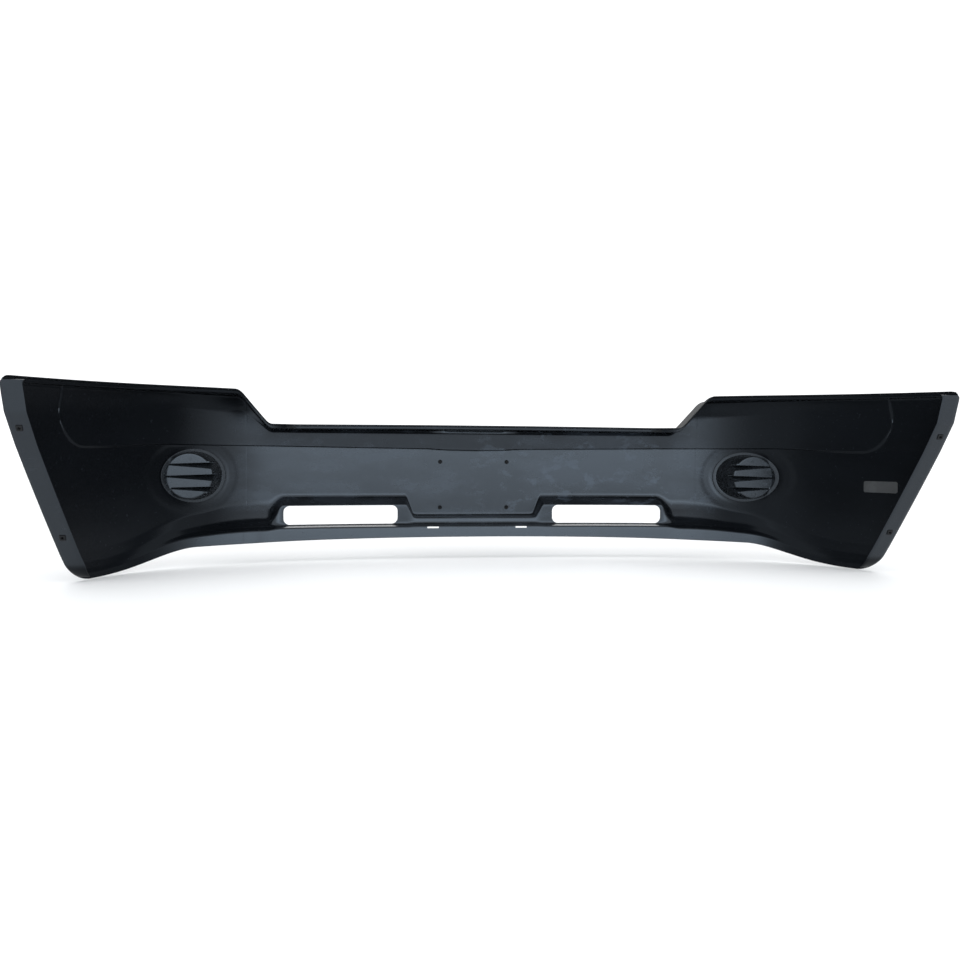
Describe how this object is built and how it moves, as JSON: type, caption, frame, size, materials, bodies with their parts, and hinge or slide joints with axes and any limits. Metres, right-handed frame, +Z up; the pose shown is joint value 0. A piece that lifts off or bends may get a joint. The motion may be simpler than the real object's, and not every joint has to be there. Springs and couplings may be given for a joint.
{
  "type": "front bumper cover",
  "caption": "Thin moulded front bumper cover with wheel arch flanges, grille step, two air intakes, round fog lamp blanks and push-in nuts.",
  "frame": {"origin": "under the middle of the whole cover, level with its lowest edge", "axes": "+X across the car, +Y to the front of the car, +Z up"},
  "size_m": [1.9028, 0.6145, 0.4177],
  "materials": {
    "shell": "semi-gloss black moulded polypropylene",
    "blank": "satin black moulded plastic",
    "plate_nut": "satin black nylon",
    "arch_nut": "satin black nylon",
    "label": "matte dark film"
  },
  "bodies": {
    "root": {"fascia_shell": "shell", "fog_blank_left": "blank", "fog_blank_right": "blank", "blank_label": "label", "plate_nut_upper_left": "plate_nut", "plate_nut_upper_right": "plate_nut", "plate_nut_lower_left": "plate_nut", "plate_nut_lower_right": "plate_nut", "arch_nut_upper_left": "arch_nut", "arch_nut_upper_right": "arch_nut", "arch_nut_lower_left": "arch_nut", "arch_nut_lower_right": "arch_nut"}
  },
  "joints": []
}
